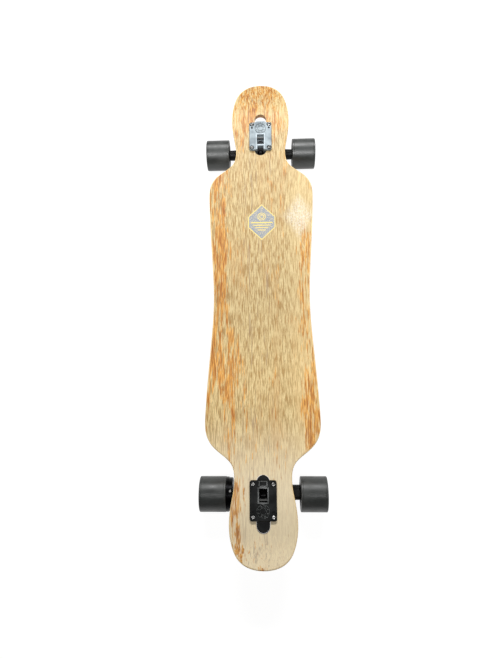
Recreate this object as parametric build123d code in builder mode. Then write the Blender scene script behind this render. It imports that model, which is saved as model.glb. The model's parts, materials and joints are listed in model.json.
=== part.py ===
from build123d import *

import os
from math import cos, radians, sin

# Electric longboard with drop-through trucks and one in-wheel motor. Millimetres, +Y towards the
# nose, +X to the rider's right, +Z up. The origin is on the ground under the middle of the board.

# Deck
deck_length = 1105.0
deck_thickness = 12.0
deck_top_z = 98.0
deck_bottom_z = deck_top_z - deck_thickness
deck_edge_round = 2.5
flat_half_width = 82.0
rail_half_width = 125.0
rail_rise = 6.0
kick_rise = 16.0
kick_length = 68.0

# Trucks: the hole pattern is the standard 41.3 x 63.5
wheelbase = 839.0
nose_overhang = 136.5
front_truck_y = deck_length / 2 - nose_overhang
rear_truck_y = front_truck_y - wheelbase
truck_mid_y = (front_truck_y + rear_truck_y) / 2
bolt_half_x = 41.3 / 2
bolt_half_y = 63.5 / 2
spare_hole_y = bolt_half_y - 9.5
bolt_radius = 2.4
bolt_clearance = 0.3
slot_length = 114.0
slot_width = 28.0
slot_shift = 7.0
plate_corner = 5.0
flange_thickness = 6.0
belly_width = 27.0
bolt_head_radius = 4.2
bolt_head_height = 3.2
bolt_recess_radius = 5.6
bolt_recess_depth = 2.0
window_half_width = 8.5

# Steering geometry in a truck's own frame: origin on the deck's top face, y towards the nearer tip
steer_slope = radians(48)
ring_centre = (0, 11.5, -30.8)
axle_centre = (0, -8.5, -61.2)
pivot_reach = 54.0
seat_distance = 19.5
head_distance = 28.0
washer_thickness = 1.5
bushing_radius = 12.0
upper_bushing_height = 14.0
lower_bushing_height = 13.0
ring_radius = 17.0
ring_half = 4.0
kingpin_radius = 4.75
kingpin_hex = 7.15
kingpin_end = 31.0
nut_start = ring_half + lower_bushing_height + washer_thickness
nut_height = 8.5
pivot_radius = 5.5
cup_radius = 9.0
cup_depth = 5.5
horn_half = 8.0
running_gap = 0.1
arm_radius = 11.6
hanger_reach = 93.3
motor_arm_reach = 62.0
wide_arm_size = (31.0, 25.0)
wide_arm_reach = 79.0
wide_arm_shift = -3.7

# Wheels, 608 bearings and axles
wheel_radius = 36.8
wheel_width = 56.6
wheel_offset = 107.0
axle_z = deck_top_z + axle_centre[2]
front_axle_y = front_truck_y + axle_centre[1]
rear_axle_y = rear_truck_y - axle_centre[1]
axle_radius = 4.0
axle_end = 130.0
lip_radius = 25.0
core_radius = 17.0
core_half = 13.0
bearing_radius = 11.0
bearing_inner_radius = 6.0
bearing_start = 5.1
bearing_end = 12.1
speed_washer = 1.0
axle_nut_height = 8.0
axle_nut_hex = 6.5

# In-wheel motor, measured from the wheel's centre plane, outwards positive
motor_shaft_radius = 6.0
motor_shaft_inner = -75.0
motor_shaft_outer = 20.1
stator_radius = 23.5
stator_mid = -6.0
stator_half = 15.0
stator_teeth = 12
magnet_radius = 24.2
magnet_count = 14
can_inner_radius = 25.9
can_radius = 29.9
can_outer = 24.6
end_plate_inner = 20.6
cover_radius = 34.6
cover_flange_radius = 36.2
cover_flange_width = 5.2
cover_bolt_radius = (can_inner_radius + can_radius) / 2
cover_screw_radius = 1.25
cover_screw_length = 17.5
cover_screw_seat = 2.5
cover_inner = -42.4
motor_bearing_radius = 12.0
motor_bearing_width = 6.0
outer_bearing_start = 14.6
inner_bearing_start = -38.4

# Enclosure under the deck
gasket_thickness = 1.5
flange_top_z = deck_bottom_z - gasket_thickness
rim_thickness = 3.0
rim_half_x = 79.0
rim_half_y = 224.0
tray_half_x = 70.0
tray_half_y = 215.0
tray_bottom_z = 52.0
tray_wall = 2.5
tray_floor_z = tray_bottom_z + tray_wall
screw_x = 74.5
screw_ys = (-200.0, -100.0, 0.0, 100.0, 200.0)
screw_radius = 1.75
cell_radius = 9.2
cell_length = 65.2
cell_pitch = 19.6
cell_rows = 10
first_cell_y = 12.0
cell_z = tray_floor_z + 0.8 + cell_radius
cell_mid_x = cell_length / 2 + 1.0
port_z = 67.0
button_y = -150.0
button_radius = 6.0
button_inner_x = 67.5
spring_seat_x = 62.0
socket_y = -185.0
cap_hinge = (75.5, socket_y, 79.0)
gland_x = -40.0


def truck_frame(y, heading):
    """The frame of a truck: origin on the deck's top face, y towards the nearer tip."""
    return Plane(origin=(0, y, deck_top_z), x_dir=(heading, 0, 0), z_dir=(0, 0, 1))


def local(frame, plane):
    """A plane given in a truck's own frame, placed in the board's frame."""
    return Plane(frame * plane)


def wheel_frame(side, axle_y):
    """The frame of a wheel: origin at its centre, z along the axle, away from the board."""
    return Plane(origin=(side * wheel_offset, axle_y, axle_z), x_dir=(0, 1, 0), z_dir=(side, 0, 0))


def spin_section(frame):
    """A plane through a wheel's axis, with x along the axis and y out from it."""
    return Plane(origin=frame.origin, x_dir=frame.z_dir, z_dir=frame.x_dir)


def add_ring(plane, outer, inner, start, end, mode=Mode.ADD):
    """Add a ring, or a disc where inner is 0, between two distances along a plane's normal."""
    with BuildSketch(plane.offset(start)) as section:
        Circle(outer)
        if inner > 0:
            Circle(inner, mode=Mode.SUBTRACT)
    extrude(section.sketch, amount=end - start, mode=mode)


def add_hex(plane, apothem, inner, start, end):
    """Add a hexagonal nut or head between two distances along a plane's normal."""
    with BuildSketch(plane.offset(start)) as section:
        RegularPolygon(apothem, 6, major_radius=False)
        if inner > 0:
            Circle(inner, mode=Mode.SUBTRACT)
    extrude(section.sketch, amount=end - start)


def add_block(low, high, mode=Mode.ADD):
    """Add a block between two opposite corners in the board's frame."""
    middle = [(a + b) / 2 for a, b in zip(low, high)]
    with BuildSketch(Plane.XY.offset(low[2])) as section:
        with Locations((middle[0], middle[1])):
            Rectangle(high[0] - low[0], high[1] - low[1])
    extrude(section.sketch, amount=high[2] - low[2], mode=mode)


def finish(builder, name):
    """Label a finished piece and write it."""
    builder.part.label = name
    export_step(builder.part, f"parts/{name}.step")


front_truck = truck_frame(front_truck_y, 1)
rear_truck = truck_frame(rear_truck_y, -1)
trucks = {"front": front_truck, "rear": rear_truck}

axis_dir = (0, cos(steer_slope), sin(steer_slope))
kingpin_dir = (0, sin(steer_slope), -cos(steer_slope))
steer_plane = Plane(origin=ring_centre, x_dir=(1, 0, 0), z_dir=axis_dir)
kingpin_plane = Plane(origin=ring_centre, x_dir=(1, 0, 0), z_dir=kingpin_dir)
web_plane = Plane(origin=ring_centre, x_dir=(1, 0, 0), z_dir=(0, -sin(steer_slope), cos(steer_slope)))
bolt_spots = [(x, y) for x in (-bolt_half_x, bolt_half_x) for y in (-bolt_half_y, bolt_half_y)]
screw_spots = [(x, y) for x in (-screw_x, screw_x) for y in screw_ys]

# Deck. Half widths against the distance from the middle between the trucks, then against the
# distance from a tip; both ends share one shape.
platform_outline = ((107.0, 0), (113.3, 120), (121.0, 250), (117.8, 290), (107.3, 310),
                    (85.1, 330), (65.0, 350), (59.1, 375), (66.3, 430), (69.5, 468))
tip_outline = ((62.7, 40), (53.5, 22), (41.8, 11))
neck_y = 375.0


def half_outline(direction, tip_y):
    """Points of the right edge from the waist to one tip."""
    points = [(x, truck_mid_y + direction * y) for x, y in platform_outline]
    points += [(x, tip_y - direction * d) for x, d in tip_outline]
    return points + [(0, tip_y)]


with BuildPart() as deck:
    # platform: flat in the middle, with rails that rise to the edges
    with BuildSketch(Plane.XZ.offset(-(truck_mid_y + neck_y))):
        with BuildLine():
            rail = ((flat_half_width, 0), (rail_half_width, rail_rise))
            bottom = [(x, deck_bottom_z + rise) for x, rise in rail]
            top = [(x, deck_top_z + rise) for x, rise in rail]
            Line((0, deck_bottom_z), bottom[0])
            Spline(*bottom, tangents=((1, 0), (1, 0.25)), tangent_scalars=(1, 1))
            Line(bottom[1], top[1])
            Spline(*top, tangents=((1, 0), (1, 0.25)), tangent_scalars=(1, 1))
            Line(top[0], (0, deck_top_z))
            mirror(about=Plane.YZ)
        make_face()
    extrude(amount=2 * neck_y)
    # nose and tail: flat through the trucks, then a gentle kick up
    for direction, truck_y in ((1, front_truck_y), (-1, rear_truck_y)):
        start_y = truck_mid_y + direction * neck_y
        kick_y = truck_y + direction * kick_length
        tip_y = direction * (deck_length / 2 + 5)
        with BuildSketch(Plane.YZ):
            with BuildLine():
                Line((start_y, deck_bottom_z), (kick_y, deck_bottom_z))
                Spline((kick_y, deck_bottom_z), (tip_y, deck_bottom_z + kick_rise),
                       tangents=((direction, 0), (direction, 0.3)), tangent_scalars=(1, 1))
                Line((tip_y, deck_bottom_z + kick_rise), (tip_y, deck_top_z + kick_rise))
                Spline((tip_y, deck_top_z + kick_rise), (kick_y, deck_top_z),
                       tangents=((-direction, -0.3), (-direction, 0)),
                       tangent_scalars=(1, 1))
                Line((kick_y, deck_top_z), (start_y, deck_top_z))
                Line((start_y, deck_top_z), (start_y, deck_bottom_z))
            make_face()
        extrude(amount=flat_half_width - 5, both=True)
    # the outline cuts the blank to shape
    with BuildSketch(Plane.XY.offset(deck_bottom_z - 10)):
        with BuildLine():
            nose_half = half_outline(1, deck_length / 2)
            tail_half = half_outline(-1, -deck_length / 2)
            Spline(*reversed(nose_half), *tail_half[1:], tangents=((1, 0), (-1, 0)),
                   tangent_scalars=(1, 1))
            mirror(about=Plane.YZ)
        make_face()
    extrude(amount=deck_thickness + 40, mode=Mode.INTERSECT)
    side_edges = deck.faces().filter_by(lambda face: abs(face.normal_at().Z) < 0.1).edges()
    fillet(side_edges - side_edges.filter_by(Axis.Z), deck_edge_round)
    for truck in trucks.values():
        with BuildSketch(local(truck, Plane.XY.offset(20))):
            with Locations((0, slot_shift)):
                SlotOverall(slot_length, slot_width, rotation=90)
        extrude(amount=-50, mode=Mode.SUBTRACT)
        with BuildSketch(local(truck, Plane.XY.offset(20))):
            with Locations(*bolt_spots):
                Circle(bolt_radius + bolt_clearance)
        extrude(amount=-50, mode=Mode.SUBTRACT)
    with BuildSketch(Plane.XY.offset(deck_bottom_z)):
        with Locations(*screw_spots):
            Circle(screw_radius)
    extrude(amount=8.5, mode=Mode.SUBTRACT)
finish(deck, "deck")


# Trucks
def make_baseplate(truck, size, belly, notch, name):
    """Cast plate: a flange on the deck, a belly in its slot, the kingpin seat and the pivot horn.

    belly gives the ends of the part in the slot and its corner radius; notch gives the half width,
    the ends and the depth of the pocket at the inner edge of the flange.
    """
    kingpin = local(truck, kingpin_plane)
    steer = local(truck, steer_plane)
    with BuildPart() as plate:
        with BuildSketch(truck):
            RectangleRounded(*size, plate_corner)
        extrude(amount=flange_thickness)
        chamfer(plate.faces().sort_by(Axis.Z)[-1].edges(), 1.2)
        inner_end, outer_end, belly_corner = belly
        with BuildSketch(truck):
            with Locations((0, (inner_end + outer_end) / 2)):
                RectangleRounded(belly_width, outer_end - inner_end, belly_corner)
        extrude(amount=-deck_thickness)
        add_ring(kingpin, bushing_radius + 3.5, 0, -seat_distance, 8, mode=Mode.SUBTRACT)
        # kingpin seat
        add_ring(kingpin, belly_width / 2, 0, -head_distance, -seat_distance)
        # pivot horn, its round back and the cup housing
        with BuildSketch(local(truck, Plane.YZ)):
            with BuildLine():
                Polyline((-36, 1), (-44, -20), (-44, -62), (-38, -72), (-30, -76), (-26, -70),
                         (-31.2, -61), (-13, -28.9), (-12, -1), close=True)
            make_face()
        extrude(amount=horn_half, both=True)
        with BuildSketch(local(truck, Plane.XY.offset(-62))):
            with Locations((0, -40)):
                Circle(horn_half)
        extrude(amount=58)
        add_ring(steer, cup_radius + 1.5, 0, -pivot_reach - 8, -pivot_reach + 3)
        # pocket for the cup, kingpin bore, and the window over the kingpin's head
        add_ring(steer, cup_radius, 0, -pivot_reach - cup_depth, -pivot_reach + 3, mode=Mode.SUBTRACT)
        add_ring(kingpin, kingpin_radius, 0, -head_distance, -seat_distance, mode=Mode.SUBTRACT)
        with BuildSketch(local(truck, Plane.YZ)):
            with BuildLine():
                Polyline((-23, 8), (3, 8), (3, 1.6), (-16.5, -20.1), (-23, -16), close=True)
            make_face()
        extrude(amount=window_half_width, both=True, mode=Mode.SUBTRACT)
        notch_half, notch_inner, notch_outer, notch_depth = notch
        with BuildSketch(local(truck, Plane.XY.offset(flange_thickness))):
            with Locations((0, (notch_inner + notch_outer) / 2)):
                Rectangle(2 * notch_half, notch_outer - notch_inner)
        extrude(amount=-notch_depth, mode=Mode.SUBTRACT)
        # bolt holes with flat-bottomed recesses, and the spare pair
        with BuildSketch(local(truck, Plane.XY.offset(flange_thickness))):
            with Locations(*bolt_spots):
                Circle(bolt_radius + bolt_clearance)
            with Locations((-bolt_half_x, spare_hole_y), (bolt_half_x, spare_hole_y)):
                Circle(bolt_radius + bolt_clearance)
        extrude(amount=-flange_thickness, mode=Mode.SUBTRACT)
        with BuildSketch(local(truck, Plane.XY.offset(flange_thickness))):
            with Locations(*bolt_spots):
                Circle(bolt_recess_radius)
        extrude(amount=-bolt_recess_depth, mode=Mode.SUBTRACT)
    finish(plate, name)


make_baseplate(front_truck, (54, 76), (-37.0, 44.5, 6), (7.4, -48, -28, 13), "front_baseplate")
make_baseplate(rear_truck, (55, 79), (-49.0, 62.0, 13.4), (6.5, -36, -29, 2.5), "rear_baseplate")

bolt_seat_z = flange_thickness - bolt_recess_depth

with BuildPart() as truck_bolts:
    for truck in trucks.values():
        with BuildSketch(local(truck, Plane.XY.offset(-deck_thickness - 7.5))):
            with Locations(*bolt_spots):
                Circle(bolt_radius)
        extrude(amount=deck_thickness + 7.5 + bolt_seat_z)
        with BuildSketch(local(truck, Plane.XY.offset(bolt_seat_z))):
            with Locations(*bolt_spots):
                Circle(bolt_head_radius)
        extrude(amount=bolt_head_height)
        with BuildSketch(local(truck, Plane.XY.offset(bolt_seat_z + bolt_head_height))):
            with Locations(*bolt_spots):
                RegularPolygon(2, 6)
        extrude(amount=-1.8, mode=Mode.SUBTRACT)
finish(truck_bolts, "truck_bolts")

with BuildPart() as truck_nuts:
    for truck in trucks.values():
        with BuildSketch(local(truck, Plane.XY.offset(-deck_thickness))):
            with Locations(*bolt_spots):
                Circle(6)
                Circle(bolt_radius, mode=Mode.SUBTRACT)
        extrude(amount=-1)
        with BuildSketch(local(truck, Plane.XY.offset(-deck_thickness - 1))):
            with Locations(*bolt_spots):
                RegularPolygon(4.75, 6, major_radius=False)
                Circle(bolt_radius, mode=Mode.SUBTRACT)
        extrude(amount=-5)
finish(truck_nuts, "truck_nuts")

with BuildPart() as kingpins:
    for truck in trucks.values():
        kingpin = local(truck, kingpin_plane)
        add_hex(kingpin, kingpin_hex, 0, -head_distance - 6, -head_distance)
        add_ring(kingpin, kingpin_radius, 0, -head_distance, kingpin_end)
finish(kingpins, "kingpins")

with BuildPart() as kingpin_nuts:
    for truck in trucks.values():
        add_hex(local(truck, kingpin_plane), kingpin_hex, kingpin_radius,
                nut_start, nut_start + nut_height)
finish(kingpin_nuts, "kingpin_nuts")

with BuildPart() as bushing_washers:
    for truck in trucks.values():
        kingpin = local(truck, kingpin_plane)
        for start in (-seat_distance, nut_start - washer_thickness):
            add_ring(kingpin, bushing_radius + 0.5, kingpin_radius, start, start + washer_thickness)
finish(bushing_washers, "bushing_washers")

for end, truck in trucks.items():
    kingpin = local(truck, kingpin_plane)
    with BuildPart() as bushings:
        add_ring(kingpin, bushing_radius, 0, -ring_half - upper_bushing_height, -ring_half)
        with BuildSketch(kingpin.offset(ring_half)):
            Circle(bushing_radius)
        with BuildSketch(kingpin.offset(ring_half + lower_bushing_height)):
            Circle(bushing_radius - 3)
        loft()
        add_ring(kingpin, kingpin_radius, 0, -head_distance, kingpin_end, mode=Mode.SUBTRACT)
    finish(bushings, f"{end}_bushings")

with BuildPart() as pivot_cups:
    for truck in trucks.values():
        steer = local(truck, steer_plane)
        socket_radius = pivot_radius + running_gap
        add_ring(steer, cup_radius, 0, -pivot_reach - cup_depth, -pivot_reach + 3.5)
        add_ring(steer, socket_radius, 0, -pivot_reach + 2.5, -pivot_reach + 3.5, mode=Mode.SUBTRACT)
        with BuildSketch(spin_section(steer.offset(-pivot_reach + 2.5))):
            Circle(socket_radius)
            with Locations((0, socket_radius)):
                Rectangle(4 * socket_radius, 2 * socket_radius, mode=Mode.SUBTRACT)
        revolve(axis=Axis(steer.origin, steer.z_dir), mode=Mode.SUBTRACT)
finish(pivot_cups, "pivot_cups")


def add_arm(truck, side, reach):
    """Add one tapering arm of a hanger, from the middle out to the wheel's shoulder."""
    slope = 48
    with BuildSketch(local(truck, Plane.YZ)) as root:
        with Locations(Location((axle_centre[1] + 2.7, axle_centre[2] + 3.0), slope)):
            Ellipse(17, 12)
    with BuildSketch(local(truck, Plane.YZ.offset(side * reach * 0.5))) as middle:
        with Locations(Location((axle_centre[1], axle_centre[2]), slope)):
            Ellipse(arm_radius + 2.2, arm_radius + 1.4)
    with BuildSketch(local(truck, Plane.YZ.offset(side * reach))) as tip:
        with Locations(Location((axle_centre[1], axle_centre[2]), slope)):
            Ellipse(arm_radius + 0.1, arm_radius)
    loft([root.sketch.face(), middle.sketch.face(), tip.sketch.face()])


def add_wide_arm(truck, side, reach):
    """Thicken one arm of the motor's hanger towards the middle of the board."""
    length, height = wide_arm_size
    profiles = []
    for x, width, depth in ((20, length - 9, height - 5), (36, length, height), (reach, length, height)):
        with BuildSketch(local(truck, Plane.YZ.offset(side * x))) as profile:
            with Locations((axle_centre[1] + wide_arm_shift, axle_centre[2])):
                RectangleRounded(width, depth, 8)
        profiles.append(profile.sketch.face())
    loft(profiles, ruled=True)


def make_hanger(truck, reaches):
    """Cast hanger: bushing ring, spine, pivot nose, web and two arms bored for the axle."""
    kingpin = local(truck, kingpin_plane)
    steer = local(truck, steer_plane)
    with BuildPart() as hanger:
        add_ring(kingpin, ring_radius, 0, -ring_half, ring_half)
        with BuildSketch(steer.offset(-pivot_reach + 5)):
            Circle(9)
        with BuildSketch(steer.offset(-13)):
            Circle(9.5)
        loft()
        for side, reach in zip((-1, 1), reaches):
            add_arm(truck, side, reach)
        with BuildSketch(local(truck, web_plane)):
            with BuildLine():
                Polyline((-15, -5), (15, -5), (reaches[1] * 0.62, -33), (reaches[1] * 0.62, -38),
                         (-reaches[0] * 0.62, -38), (-reaches[0] * 0.62, -33), close=True)
            make_face()
        extrude(amount=4, both=True)
        # pivot nose with a round end
        add_ring(steer, pivot_radius, 0, -pivot_reach + 2.5, -pivot_reach + 6)
        with BuildSketch(spin_section(steer.offset(-pivot_reach + 2.5))):
            Circle(pivot_radius)
            with Locations((0, pivot_radius)):
                Rectangle(4 * pivot_radius, 2 * pivot_radius, mode=Mode.SUBTRACT)
        revolve(axis=Axis(steer.origin, steer.z_dir))
        add_ring(kingpin, 8, 0, -ring_half - 8, ring_half + 8, mode=Mode.SUBTRACT)
    return hanger


front_cross = Plane(origin=(0, front_axle_y, axle_z), x_dir=(0, 1, 0), z_dir=(1, 0, 0))
rear_cross = Plane(origin=(0, rear_axle_y, axle_z), x_dir=(0, 1, 0), z_dir=(1, 0, 0))
rear_left = wheel_frame(-1, rear_axle_y)
set_screw_xs = (-56.0, -46.0)

front_hanger = make_hanger(front_truck, (hanger_reach, hanger_reach))
with front_hanger:
    add_ring(front_cross, axle_radius, 0, -hanger_reach, hanger_reach, mode=Mode.SUBTRACT)
finish(front_hanger, "front_hanger")

rear_hanger = make_hanger(rear_truck, (hanger_reach, motor_arm_reach))
with rear_hanger:
    for side, reach in ((-1, wide_arm_reach), (1, motor_arm_reach)):
        add_wide_arm(rear_truck, side, reach)
    add_ring(rear_cross, axle_radius, 0, -20, hanger_reach, mode=Mode.SUBTRACT)
    add_ring(rear_left, motor_shaft_radius, 0, motor_shaft_inner, -40, mode=Mode.SUBTRACT)
    for x in set_screw_xs:
        with BuildSketch(Plane.XY.offset(axle_z - motor_shaft_radius)) as tapping:
            with Locations((x, rear_axle_y)):
                Circle(2.5)
        extrude(tapping.sketch, amount=-12, mode=Mode.SUBTRACT)
finish(rear_hanger, "rear_hanger")

with BuildPart() as set_screws:
    for x in set_screw_xs:
        with BuildSketch(Plane.XY.offset(axle_z - motor_shaft_radius)):
            with Locations((x, rear_axle_y)):
                Circle(2.5)
        extrude(amount=-6)
finish(set_screws, "motor_set_screws")

with BuildPart() as front_axle:
    add_ring(front_cross, axle_radius, 0, -axle_end, axle_end)
finish(front_axle, "front_axle")

with BuildPart() as rear_axle:
    add_ring(rear_cross, axle_radius, 0, -20, axle_end)
finish(rear_axle, "rear_axle")

# Fittings that stay with each hanger
plain_wheels = {"front": [wheel_frame(-1, front_axle_y), wheel_frame(1, front_axle_y)],
                "rear": [wheel_frame(1, rear_axle_y)]}

for end, frames in plain_wheels.items():
    with BuildPart() as axle_nuts:
        for frame in frames:
            start = bearing_end + speed_washer
            add_hex(frame, axle_nut_hex, axle_radius, start, start + axle_nut_height)
    finish(axle_nuts, f"{end}_axle_nuts")
    with BuildPart() as speed_washers:
        for frame in frames:
            add_ring(frame, 5.5, axle_radius, bearing_end, bearing_end + speed_washer)
            add_ring(frame, 5.5, axle_radius, -bearing_end - speed_washer, -bearing_end)
    finish(speed_washers, f"{end}_speed_washers")
    with BuildPart() as bearing_spacers:
        for frame in frames:
            add_ring(frame, 5.5, axle_radius, -bearing_start, bearing_start)
    finish(bearing_spacers, f"{end}_bearing_spacers")
    with BuildPart() as inner_rings:
        for frame in frames:
            add_ring(frame, bearing_inner_radius, axle_radius, bearing_start, bearing_end)
            add_ring(frame, bearing_inner_radius, axle_radius, -bearing_end, -bearing_start)
    finish(inner_rings, f"{end}_inner_rings")


# Wheels
def make_tyre(frame, name):
    """Urethane tyre: rounded outer edges and dished faces that run down to its core."""
    half = wheel_width / 2
    with BuildPart() as tyre:
        with BuildSketch(spin_section(frame)):
            with BuildLine():
                Polyline((-half, -lip_radius), (-half, -wheel_radius), (half, -wheel_radius),
                         (half, -lip_radius), (core_half, -core_radius),
                         (-core_half, -core_radius), close=True)
            make_face()
        revolve(axis=Axis(frame.origin, frame.z_dir))
        rims = tyre.edges().filter_by(GeomType.CIRCLE)
        fillet(rims.filter_by(lambda rim: abs(rim.radius - wheel_radius) < 0.1), 5.5)
    finish(tyre, name)


def make_core(frame, name):
    """Wheel core: seats for two bearings with a rib between them."""
    with BuildPart() as core:
        add_ring(frame, core_radius, bearing_radius, -core_half, core_half)
        add_ring(frame, bearing_radius, bearing_radius - 2, -bearing_start, bearing_start)
    finish(core, name)


def make_bearings(frame, name):
    """Outer rings and shields of the two sealed bearings of a wheel."""
    with BuildPart() as bearings:
        for side in (-1, 1):
            ends = sorted((side * bearing_start, side * bearing_end))
            add_ring(frame, bearing_radius, bearing_inner_radius + running_gap, *ends)
            add_ring(frame, bearing_radius - 1.8, bearing_inner_radius + running_gap,
                     side * (bearing_end - 0.5), side * bearing_end, mode=Mode.SUBTRACT)
    finish(bearings, name)


for name, frame in (("front_left", plain_wheels["front"][0]), ("front_right", plain_wheels["front"][1]),
                    ("rear_right", plain_wheels["rear"][0])):
    make_tyre(frame, f"{name}_tyre")
    make_core(frame, f"{name}_core")
    make_bearings(frame, f"{name}_bearings")

# In-wheel motor at the rear left
with BuildPart() as motor_tyre:
    add_ring(rear_left, wheel_radius, can_radius, -wheel_width / 2, wheel_width / 2)
    rims = motor_tyre.edges().filter_by(GeomType.CIRCLE)
    fillet(rims.filter_by(lambda rim: abs(rim.radius - wheel_radius) < 0.1), 3)
finish(motor_tyre, "motor_tyre")

with BuildPart() as rotor_can:
    add_ring(rear_left, can_radius, can_inner_radius, -wheel_width / 2, can_outer)
    add_ring(rear_left, can_inner_radius, 0, end_plate_inner, can_outer)
    add_ring(rear_left, motor_bearing_radius + 4, motor_bearing_radius,
             outer_bearing_start, end_plate_inner)
    with BuildSketch(rear_left.offset(-wheel_width / 2)):
        with PolarLocations(cover_bolt_radius, 6):
            Circle(cover_screw_radius)
    extrude(amount=cover_inner + cover_screw_seat + cover_screw_length + wheel_width / 2,
            mode=Mode.SUBTRACT)
finish(rotor_can, "rotor_can")

with BuildPart() as rotor_magnets:
    with BuildSketch(rear_left.offset(stator_mid - stator_half)):
        Circle(can_inner_radius)
        Circle(magnet_radius, mode=Mode.SUBTRACT)
        with PolarLocations((can_inner_radius + magnet_radius) / 2, magnet_count):
            Rectangle(4, 1.2, mode=Mode.SUBTRACT)
    extrude(amount=2 * stator_half)
finish(rotor_magnets, "rotor_magnets")

rim_screw_angles = (77.0, 197.0, 317.0)
rim_screw_radius = 2.4
flange_end = -wheel_width / 2 - cover_flange_width
rim_screw_x = -wheel_offset - (cover_inner + flange_end) / 2 - 0.5


def rim_screw_plane(angle):
    """A plane on the cover's rim, facing out, at an angle round the axle."""
    turn = radians(angle)
    out = (0, cos(turn), sin(turn))
    origin = (rim_screw_x, rear_axle_y + cover_radius * out[1], axle_z + cover_radius * out[2])
    return Plane(origin=origin, x_dir=(1, 0, 0), z_dir=out)


with BuildPart() as motor_cover:
    add_ring(rear_left, cover_radius, 0, cover_inner, -wheel_width / 2)
    add_ring(rear_left, cover_flange_radius, 0, flange_end, -wheel_width / 2)
    chamfer(motor_cover.faces().sort_by(Axis.X)[-1].edges(), 1.5)
    add_ring(rear_left, 8.5, 0, cover_inner, inner_bearing_start, mode=Mode.SUBTRACT)
    add_ring(rear_left, motor_bearing_radius, 0, inner_bearing_start, -wheel_width / 2,
             mode=Mode.SUBTRACT)
    with BuildSketch(rear_left.offset(cover_inner)):
        with PolarLocations(cover_bolt_radius, 6):
            Circle(cover_screw_radius)
    extrude(amount=20, mode=Mode.SUBTRACT)
    with BuildSketch(rear_left.offset(cover_inner)):
        with PolarLocations(cover_bolt_radius, 6):
            Circle(2.8)
    extrude(amount=cover_screw_seat, mode=Mode.SUBTRACT)
    for angle in rim_screw_angles:
        with BuildSketch(rim_screw_plane(angle)):
            Circle(rim_screw_radius)
        extrude(amount=-4, mode=Mode.SUBTRACT)
finish(motor_cover, "motor_cover")

with BuildPart() as cover_screws:
    with BuildSketch(rear_left.offset(cover_inner + cover_screw_seat)):
        with PolarLocations(cover_bolt_radius, 6):
            Circle(2.7)
    extrude(amount=-2)
    with BuildSketch(rear_left.offset(cover_inner + cover_screw_seat)):
        with PolarLocations(cover_bolt_radius, 6):
            Circle(cover_screw_radius)
    extrude(amount=cover_screw_length)
    for angle in rim_screw_angles:
        with BuildSketch(rim_screw_plane(angle).offset(-0.6)):
            Circle(rim_screw_radius)
        extrude(amount=-3.4)
finish(cover_screws, "cover_screws")

with BuildPart() as motor_shaft:
    add_ring(rear_left, motor_shaft_radius, 0, motor_shaft_inner, motor_shaft_outer)
finish(motor_shaft, "motor_shaft")

with BuildPart() as stator_core:
    with BuildSketch(rear_left.offset(stator_mid - stator_half)):
        Circle(stator_radius)
        Circle(stator_radius - 2.2, mode=Mode.SUBTRACT)
        with PolarLocations(stator_radius - 1, stator_teeth, start_angle=180 / stator_teeth):
            Rectangle(4, 1.4, mode=Mode.SUBTRACT)
        Circle(12.5)
        with PolarLocations(17, stator_teeth):
            Rectangle(11, 3.4)
        Circle(motor_shaft_radius, mode=Mode.SUBTRACT)
    extrude(amount=2 * stator_half)
finish(stator_core, "stator_core")

with BuildPart() as stator_windings:
    for tooth in PolarLocations(13.3, stator_teeth):
        face_out = Plane(rear_left.offset(stator_mid).location * tooth * Location((0, 0, 0), (0, 90, 0)))
        with BuildSketch(face_out):
            Rectangle(2 * stator_half + 3.4, 6.5)
            Rectangle(2 * stator_half, 3.4, mode=Mode.SUBTRACT)
        extrude(amount=7.5)
    fillet(stator_windings.edges().filter_by(GeomType.LINE).filter_by(Axis.X), 0.6)
finish(stator_windings, "stator_windings")

motor_inner_gap = 7.6
bearing_seats = (outer_bearing_start, inner_bearing_start)

with BuildPart() as motor_bearings:
    for start in bearing_seats:
        add_ring(rear_left, motor_bearing_radius, motor_inner_gap + running_gap,
                 start, start + motor_bearing_width)
finish(motor_bearings, "motor_bearings")

with BuildPart() as motor_inner_rings:
    for start in bearing_seats:
        add_ring(rear_left, motor_inner_gap, motor_shaft_radius, start, start + motor_bearing_width)
finish(motor_inner_rings, "motor_inner_rings")

# Enclosure

def port(y):
    """A plane facing right, through a port's axis in the enclosure's right wall."""
    return Plane(origin=(0, y, port_z), x_dir=(0, 1, 0), z_dir=(1, 0, 0))


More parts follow.
